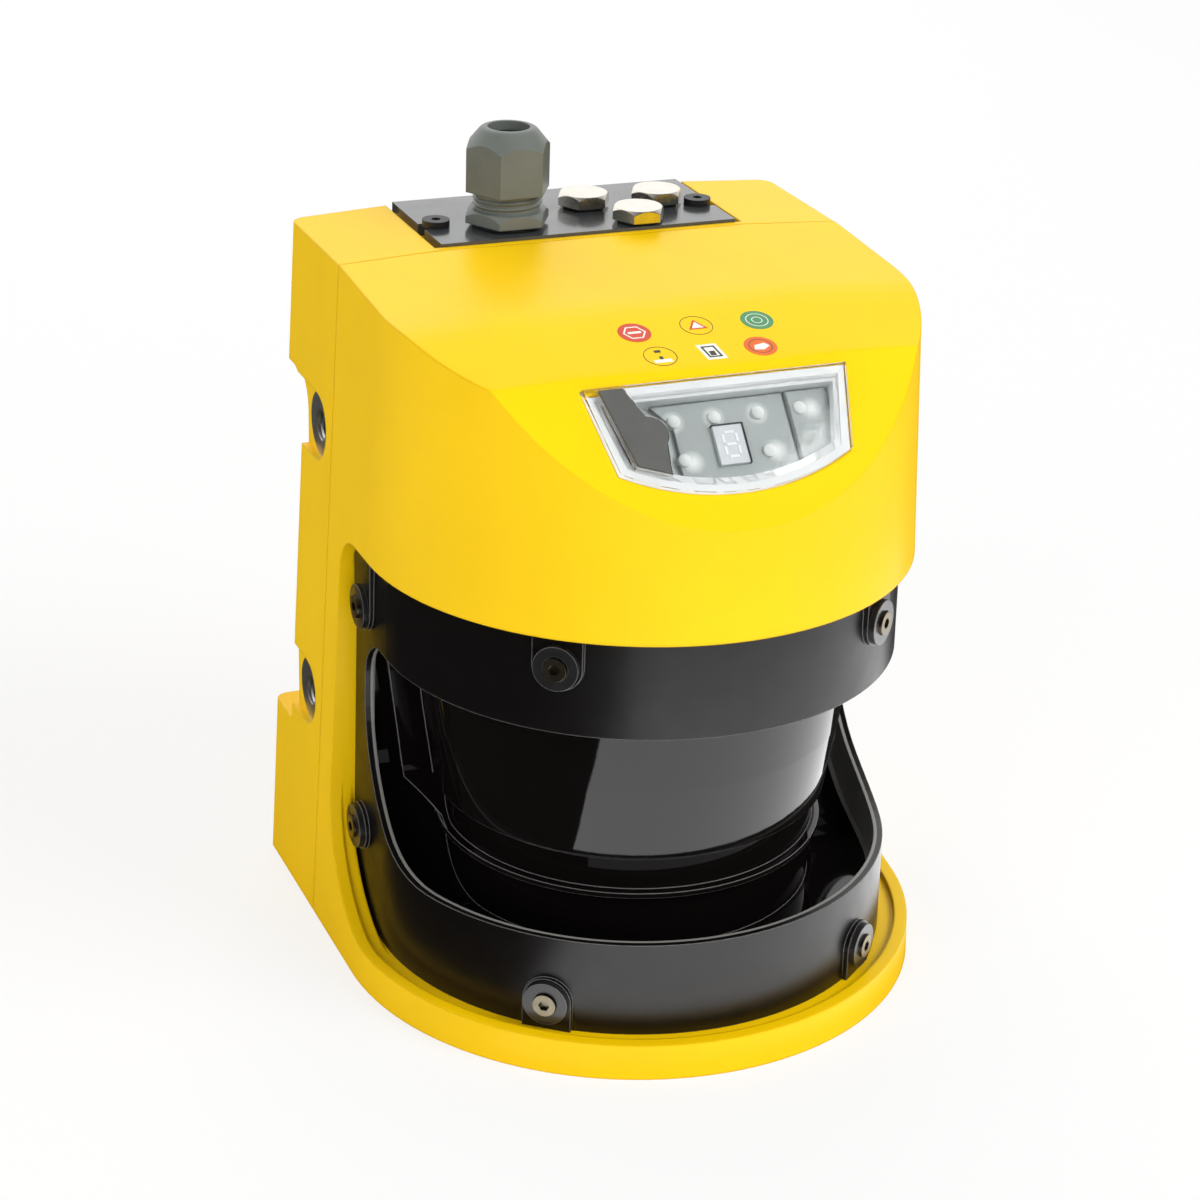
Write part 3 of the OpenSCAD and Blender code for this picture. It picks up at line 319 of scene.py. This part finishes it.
def prism(bm, points, z0, z1, place, round_edge=0.0):
    """A flat shape in plane coordinates (mm) between two heights, put at place."""
    def ring_at(outline, z):
        return [bm.verts.new(place @ Vector((x * MM, y * MM, z * MM))) for x, y in outline]

    n = len(points)
    rings = [ring_at(points, z0)]
    if round_edge:
        cx = sum(p[0] for p in points) / n
        cy = sum(p[1] for p in points) / n
        size = max(math.hypot(x - cx, y - cy) for x, y in points)
        k = 1 - round_edge / size
        rings.append(ring_at(points, z1 - round_edge))
        rings.append(ring_at([(cx + (x - cx) * k, cy + (y - cy) * k) for x, y in points], z1))
    else:
        rings.append(ring_at(points, z1))
    for a, b in zip(rings, rings[1:]):
        for i in range(n):
            bm.faces.new((a[i], a[(i + 1) % n], b[(i + 1) % n], b[i]))
    bm.faces.new(list(reversed(rings[0])))
    bm.faces.new(rings[-1])


def disc(cx, cy, r, n=48):
    return [(cx + r * math.cos(2 * math.pi * i / n), cy + r * math.sin(2 * math.pi * i / n)) for i in range(n)]


def rect(cx, cy, w, h, lean=0.0):
    corners = ((-1, -1), (1, -1), (1, 1), (-1, 1))
    return [(cx + sx * w / 2 + sy * lean / 2, cy + sy * h / 2) for sx, sy in corners]


def plane(origin, slope):
    """X across, Y up the slope, Z out of it."""
    return Matrix.Translation(Vector(origin) * MM) @ Matrix.Rotation(math.radians(slope), 4, "X")


# ---- Symbols printed on the hood ----

TOP_BACK_Y, BEND_Y, FACE_Y, WINDOW_Y = 35, -12, -42.5, -43.5
TOP_SLOPE, BROW_SLOPE, FACE_SLOPE = 3.4, 14, 47
bend_z = BODY_H - (TOP_BACK_Y - BEND_Y) * math.tan(math.radians(TOP_SLOPE))
face_z = bend_z - (BEND_Y - FACE_Y) * math.tan(math.radians(BROW_SLOPE))
brow = plane((0, BEND_Y, bend_z), BROW_SLOPE)
INK = dict(red=(0.62, 0.055, 0.015), green=(0.06, 0.26, 0.10), orange=(0.75, 0.13, 0.005),
           pale=(0.86, 0.86, 0.80), black=(0.03, 0.03, 0.02))
inks = {k: Mat("ink_" + k, c, 0.38).vary(400, 0.05).relief(900, 0.008, 0.0).mat for k, c in INK.items()}


def printed(name, ink, shapes, z0=-0.05, z1=0.06):
    """Ink shapes on the brow of the hood."""
    bm = bmesh.new()
    for s in shapes:
        prism(bm, s, z0, z1, brow)
    piece(name, bm, inks[ink])


def ring(cx, cy, r, w, n=48):
    """A ring as short quads."""
    outside, inside = disc(cx, cy, r, n), disc(cx, cy, r - w, n)
    return [[outside[i], outside[(i + 1) % n], inside[(i + 1) % n], inside[i]] for i in range(n)]


printed("symbol_red", "red", [disc(-13.1, -12.3, 4.15)])
printed("symbol_red_marks", "pale", ring(-13.1, -12.3, 3.0, 0.45, 6) + [rect(-13.1, -12.3, 3.4, 0.9)], 0, 0.09)
printed("symbol_green", "green", [disc(19.5, -12.1, 4.15)])
printed("symbol_green_marks", "pale", ring(19.5, -12.1, 2.9, 0.22) + ring(19.5, -12.1, 1.4, 0.22), 0, 0.08)
printed("symbol_orange", "orange", [disc(15.6, -23.4, 4.15)])
arrow = [(13.6, -24.6), (16.0, -25.0), (18.0, -23.6), (17.0, -22.2), (14.2, -22.8)]
printed("symbol_orange_marks", "pale", [arrow], 0, 0.08)
outlines = ring(3.4, -11.8, 4.15, 0.16) + ring(-10.7, -23.3, 4.15, 0.16) + ring(15.6, -23.4, 3.0, 0.2)
outlines += [rect(-10.7, -21.2, 1.6, 1.0), rect(-10.7, -24.0, 0.9, 1.2)]
printed("symbol_rings", "black", outlines, -0.05, 0.07)
printed("symbol_triangle", "red", [[(0.9, -13.4), (5.9, -13.4), (3.4, -9.2)]])
printed("symbol_triangle_marks", "pale", [[(1.8, -12.95), (5.0, -12.95), (3.4, -10.2)]], 0, 0.08)
printed("symbol_bar", "pale", [rect(-10.7, -25.4, 4.6, 1.3)])
printed("symbol_window", "pale", [rect(2.6, -23.6, 5.2, 6.6, -0.8)])
screen = [rect(2.6 - 0.27, -21.4, 3.5, 0.5), rect(2.6 + 0.27, -25.8, 3.5, 0.5),
          rect(1.1, -23.6, 0.5, 4.9, -0.6), rect(4.1, -23.6, 0.5, 4.9, -0.6), rect(2.6, -24.3, 1.5, 1.9)]
printed("symbol_window_marks", "black", screen, 0, 0.09)

# ---- Behind the display window ----

glass = plane((0, WINDOW_Y, face_z - (FACE_Y - WINDOW_Y) * math.tan(math.radians(FACE_SLOPE))), FACE_SLOPE)
LAMPS = ((-12, -9), (-1.5, -9), (9.9, -9), (24, -9.5), (-9.5, -19.5), (12.4, -19))
GUIDE_Z0, GUIDE_Z1, NARROW_Z1 = -6.3, -5.1, -4.7
BORDER_Z0, BORDER_Z1 = -1.95, -1.85

# a frosted panel with a painted pool of light in a soft spot round each lamp
frost = Mat("frosted_panel", (0.30, 0.325, 0.32), 0.45).vary(60, 0.05)
lamp_glow_painted = None
for x, y in LAMPS:
    near = frost.add("ShaderNodeVectorMath", operation="DISTANCE")
    frost.link(frost.coord.outputs["Object"], near.inputs[0])
    near.inputs[1].default_value = glass @ (Vector((x, y, GUIDE_Z1)) * MM)
    spot = frost.ramp(near.outputs["Value"], 0.6 * MM, 3.2 * MM, 0.6, 0)
    lamp_glow_painted = spot if lamp_glow_painted is None else frost.math("MAXIMUM", lamp_glow_painted, spot)
frost.link(frost.mix(lamp_glow_painted, frost.tint, (0.88, 0.89, 0.88)), frost.bsdf.inputs["Base Color"])
frost = frost.relief(1600, 0.015, 0.25).mat
bm = bmesh.new()
wide_guide = [(-17.0, -4.5), (17.5, -4.3), (17.5, -25.6), (10, -27.0), (0, -27.6), (-8, -27.2), (-12.5, -26.2),
              (-13.2, -19.5), (-12.4, -17.6), (-12.4, -9.6), (-14.2, -8.0)]
narrow_guide = [(18.3, -4.3), (28.4, -4.3), (29.4, -6.0), (27.6, -19.4), (24.4, -22.8), (18.3, -25.2)]
prism(bm, wide_guide, GUIDE_Z0, GUIDE_Z1, glass, 0.4)
prism(bm, narrow_guide, GUIDE_Z0, NARROW_Z1, glass, 0.4)
piece("light_guide", bm, frost)

# the unlit segments, and dark strips as painted shade in the gap round two sides of their block
seg_mat = Mat("segment_face", (0.66, 0.68, 0.69), 0.3).vary(300, 0.03).relief(900, 0.004, 0.1).mat
bm = bmesh.new()
sx, sy = 0.8, -16.5
bars = [rect(sx, sy + dy, 2.6, 0.7) for dy in (3.1, 0, -3.1)]
bars += [rect(sx + dx, sy + dy, 0.7, 2.3) for dy in (1.55, -1.55) for dx in (-1.75, 1.75)]
for s in bars:
    prism(bm, s, -4.1, -3.85, glass, 0.12)
piece("segment_bars", bm, seg_mat)
bm = bmesh.new()
for s in [rect(sx, sy + 5.15, 8.0, 0.35), rect(sx + 3.95, sy, 0.35, 10.2)]:
    prism(bm, s, -5.6, -3.7, glass)
piece("segment_shade", bm, dark)

# a pale band printed on the underside of the window, round its edge but not where the cap sits


def window_edge(inset):
    """Outline of the window, inset mm inside its edge."""
    half_low, half_top, deepest, sag, steps = 30, 34.3, 29.6, 7.6, 12
    bow = (half_low * half_low + sag * sag) / (2 * sag)
    xs = [(half_low - inset) * k / steps for k in range(-steps, steps + 1)]
    arc = [(x, bow - deepest - math.sqrt((bow - inset) ** 2 - x ** 2)) for x in xs]
    return [(-half_top + inset, -inset)] + arc + [(half_top - inset, -inset)]


bm = bmesh.new()
edge_out, edge_in = window_edge(0.25), window_edge(2.3)
for k in range(len(edge_out) - 1):
    prism(bm, [edge_out[k], edge_in[k], edge_in[k + 1], edge_out[k + 1]], BORDER_Z0, BORDER_Z1, glass)
prism(bm, [(-23.6, -0.25), (-22.3, -2.3), edge_in[-1], edge_out[-1]], BORDER_Z0, BORDER_Z1, glass)
piece("window_border", bm, white)

# ---- Threads ----


def thread(name, place, r, depth, pitch, length, mat, inward=False):
    """A helical ridge, r mm from the axis, running length mm along Z of place."""
    bm = bmesh.new()
    steps = 36
    total = int(length / pitch * steps)
    s = -1 if inward else 1
    rows = []
    for i in range(total + 1):
        a = 2 * math.pi * i / steps
        z = length * i / total
        fade = min(1, i / 12, (total - i) / 12)
        d = depth * max(fade, 0.02)
        w = pitch / 2
        row = []
        for rr, dz in ((r - s * 0.05, -w), (r + s * d, -w * 0.15), (r + s * d, w * 0.15), (r - s * 0.05, w)):
            point = Vector((rr * math.cos(a), rr * math.sin(a), z + dz)) * MM
            row.append(bm.verts.new(place @ point))
        rows.append(row)
    for a, b in zip(rows, rows[1:]):
        for k in range(4):
            bm.faces.new((a[k], a[(k + 1) % 4], b[(k + 1) % 4], b[k]))
    bm.faces.new(rows[0])
    bm.faces.new(list(reversed(rows[-1])))
    piece(name, bm, mat, smooth=30)


place = Matrix.Translation(Vector((GLAND_X, GLAND_Y, FLANGE_TOP + 0.5)) * MM)
thread("gland_thread", place, 8.45, 0.65, 1.5, 3.8, gland)
for k, (sgn, z) in enumerate((s, z) for s in (-1, 1) for z in SIDE_THREAD_Z):
    turn = Matrix.Rotation(math.radians(90 * sgn), 4, "Y")
    mouth = Matrix.Translation(Vector((sgn * side_face(z), SIDE_THREAD_Y, z)) * MM)
    place = mouth @ turn @ Matrix.Translation((0, 0, -8.2 * MM))
    thread(f"side_thread_turns_{k}", place, 4.0, 0.45, 1.25, 7.6, alu, inward=True)

# ---- Studio ----


def quad(name, faces, mat):
    """A flat stage object made of one or more faces."""
    bm = bmesh.new()
    for corners in faces:
        bm.faces.new([bm.verts.new(Vector(c)) for c in corners])
    me = bpy.data.meshes.new(name)
    bm.to_mesh(me)
    bm.free()
    ob = bpy.data.objects.new(name, me)
    bpy.context.scene.collection.objects.link(ob)
    me.materials.append(mat)
    return ob


# the floor keeps the shadow, glows a little to the camera and is dark to gloss
floor = bpy.data.materials.new("pale_floor")
floor.use_nodes = True
t = floor.node_tree
diff = t.nodes["Principled BSDF"]
diff.inputs["Base Color"].default_value = (0.86, 0.86, 0.86, 1)
diff.inputs["Roughness"].default_value = 0.9
diff.inputs["Specular IOR Level"].default_value = 0.0
glow = t.nodes.new("ShaderNodeEmission")
path = t.nodes.new("ShaderNodeLightPath")
share = t.nodes.new("ShaderNodeMath")
share.operation = "MULTIPLY"
share.inputs[1].default_value = 0.72
mixer = t.nodes.new("ShaderNodeMixShader")
t.links.new(path.outputs["Is Camera Ray"], share.inputs[0])
t.links.new(share.outputs[0], mixer.inputs[0])
t.links.new(diff.outputs[0], mixer.inputs[1])
t.links.new(glow.outputs[0], mixer.inputs[2])
t.links.new(mixer.outputs[0], t.nodes["Material Output"].inputs[0])
hide = t.nodes.new("ShaderNodeMath")
hide.operation = "MULTIPLY_ADD"
hide.inputs[1].default_value = -0.84
hide.inputs[2].default_value = 0.86
t.links.new(path.outputs["Is Glossy Ray"], hide.inputs[0])
t.links.new(hide.outputs[0], diff.inputs["Base Color"])
HALF_FLOOR = 4
quad("floor", [[(x * HALF_FLOOR, y * HALF_FLOOR, 0) for x, y in ((-1, -1), (1, -1), (1, 1), (-1, 1))]], floor)

# a bright card on the floor, right of the front, that shows only in gloss
card_mat = bpy.data.materials.new("bright_card")
card_mat.use_nodes = True
card_glow = card_mat.node_tree.nodes.new("ShaderNodeEmission")
card_glow.inputs["Strength"].default_value = 2.4
card_mat.node_tree.links.new(card_glow.outputs[0], card_mat.node_tree.nodes["Material Output"].inputs[0])


def polar(r, deg):
    return (r * math.cos(math.radians(deg)), r * math.sin(math.radians(deg)), 0.0004)


# a sector of the floor, and a part on its left whose edge slants on the cone
CARD_IN, CARD_OUT, CARD_LEFT, CARD_RIGHT, CARD_STEP = 0.085, 0.36, -114, 14, 4
quads = [[polar(CARD_IN, a), polar(CARD_OUT, a), polar(CARD_OUT, a + CARD_STEP), polar(CARD_IN, a + CARD_STEP)]
         for a in range(CARD_LEFT, CARD_RIGHT, CARD_STEP)]
slant = ((CARD_IN, -141.5), (0.1006, -137.8), (0.1272, -131.3), (0.1392, -131.3), (0.1715, -124.6))
quads += [[polar(r0, a0), polar(r1, a1), polar(r1, CARD_LEFT), polar(r0, CARD_LEFT)]
          for (r0, a0), (r1, a1) in zip(slant, slant[1:])]
quads.append([polar(*slant[-1]), polar(0.215, CARD_LEFT), polar(slant[-1][0], CARD_LEFT)])
card = quad("bright_card", quads, card_mat)
card.visible_camera = card.visible_diffuse = card.visible_shadow = card.visible_transmission = False

world = bpy.data.worlds.new("studio")
bpy.context.scene.world = world
world.use_nodes = True
wt = world.node_tree
bg = wt.nodes["Background"]
bg.inputs["Color"].default_value = (1, 1, 1, 1)
wp = wt.nodes.new("ShaderNodeLightPath")


def world_math(op, a, b, c=0.0):
    n = wt.nodes.new("ShaderNodeMath")
    n.operation = op
    for k, v in enumerate((a, b, c)):
        if isinstance(v, (int, float)):
            n.inputs[k].default_value = v
        else:
            wt.links.new(v, n.inputs[k])
    return n.outputs[0]


# gloss sees a studio that is bright behind the object and dark in front of it
way = wt.nodes.new("ShaderNodeTexCoord")
split = wt.nodes.new("ShaderNodeSeparateXYZ")
wt.links.new(way.outputs["Generated"], split.inputs[0])
sky = wt.nodes.new("ShaderNodeMapRange")
wt.links.new(split.outputs[1], sky.inputs["Value"])
for k, v in enumerate((-0.4, 0.7, 0.02, 1.25)):
    sky.inputs[k + 1].default_value = v
plain = world_math("MULTIPLY_ADD", wp.outputs["Is Camera Ray"], 0.5, 0.5)
shown = world_math("MULTIPLY", wp.outputs["Is Glossy Ray"], world_math("SUBTRACT", sky.outputs[0], 0.5))
wt.links.new(world_math("ADD", plain, shown), bg.inputs["Strength"])


def lamp_at(name, place, aim, size, power):
    """A soft lamp that gloss and the camera don't see."""
    d = bpy.data.lights.new(name, "AREA")
    d.shape = "RECTANGLE"
    d.size, d.size_y = size
    d.energy = power
    ob = bpy.data.objects.new(name, d)
    bpy.context.scene.collection.objects.link(ob)
    ob.location = place
    ob.rotation_mode = "QUATERNION"
    ob.rotation_quaternion = (Vector(aim) - Vector(place)).to_track_quat("-Z", "Y")
    ob.visible_camera = False
    ob.visible_glossy = False


lamp_at("key", (0.9, -1.0, 1.2), (0, 0, 0.08), (0.9, 0.9), 19)
lamp_at("low", (-0.35, -1.3, 0.34), (0, 0, 0.05), (0.6, 0.4), 1.6)
lamp_at("fill", (-1.3, -0.9, 0.9), (0, 0, 0.08), (1.0, 1.0), 9)
lamp_at("back", (0.1, 1.5, 1.0), (0, 0, 0.15), (1.6, 0.7), 12)

bpy.context.scene.view_settings.view_transform = "Standard"
